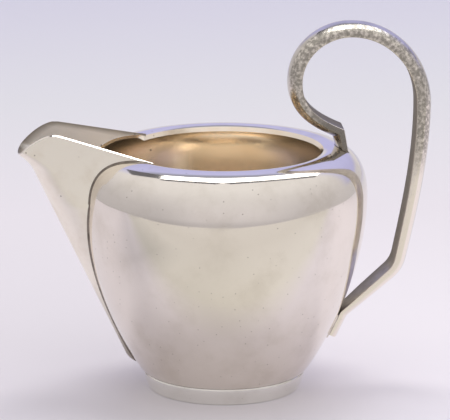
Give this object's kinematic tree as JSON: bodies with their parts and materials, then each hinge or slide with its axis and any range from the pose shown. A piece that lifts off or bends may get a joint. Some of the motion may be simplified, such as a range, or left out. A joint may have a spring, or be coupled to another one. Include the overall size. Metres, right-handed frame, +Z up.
{
  "type": "creamer",
  "caption": "Small silver cream jug: rounded bowl with in-turned shoulder on a ring foot, folded pouring spout and high looped strap handle.",
  "frame": {"origin": "centre of the foot ring's underside, on the table", "axes": "+X towards the handle, -X towards the spout, +Y across the jug, +Z up"},
  "size_m": [0.115, 0.0798, 0.1035],
  "materials": {
    "silver": "polished sterling silver, lightly pitted; gilded inside the bowl",
    "handle_silver": "polished sterling silver with worn, mottled sides",
    "solder": "satin silver solder"
  },
  "bodies": {
    "root": {"bowl": "silver", "foot_ring": "silver", "foot_solder": "solder", "spout": "silver", "spout_solder": "solder", "handle": "handle_silver", "handle_root_solder": "solder", "handle_tail_solder": "solder"}
  },
  "joints": []
}
